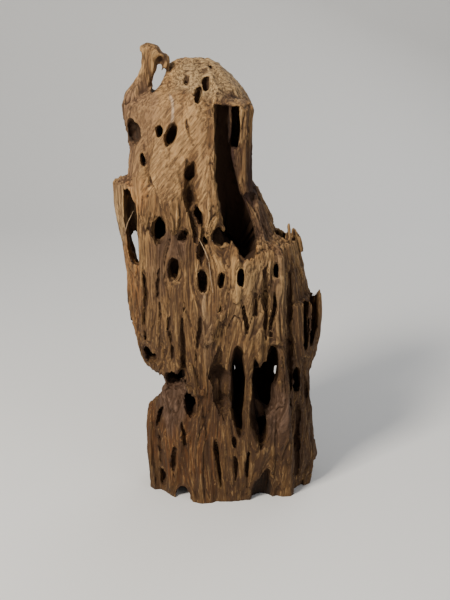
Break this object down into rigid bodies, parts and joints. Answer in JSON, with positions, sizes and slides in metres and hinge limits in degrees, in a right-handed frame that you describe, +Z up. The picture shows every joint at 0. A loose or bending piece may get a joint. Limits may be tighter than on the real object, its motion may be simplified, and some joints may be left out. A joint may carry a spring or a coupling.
{
  "type": "driftwood trunk",
  "caption": "Upright hollow driftwood trunk, rotted along the grain into holes, splits, flakes and a looped horn, for an aquarium or display.",
  "frame": {"origin": "on the ground under the middle of the trunk's box", "axes": "+Z up along the grain, +X to the right and -Y towards the viewer of the picture"},
  "size_m": [0.1861, 0.1139, 0.3999],
  "materials": {
    "weathered_wood": "dry, matte, fibrous"
  },
  "bodies": {
    "root": {"trunk": "weathered_wood"}
  },
  "joints": []
}
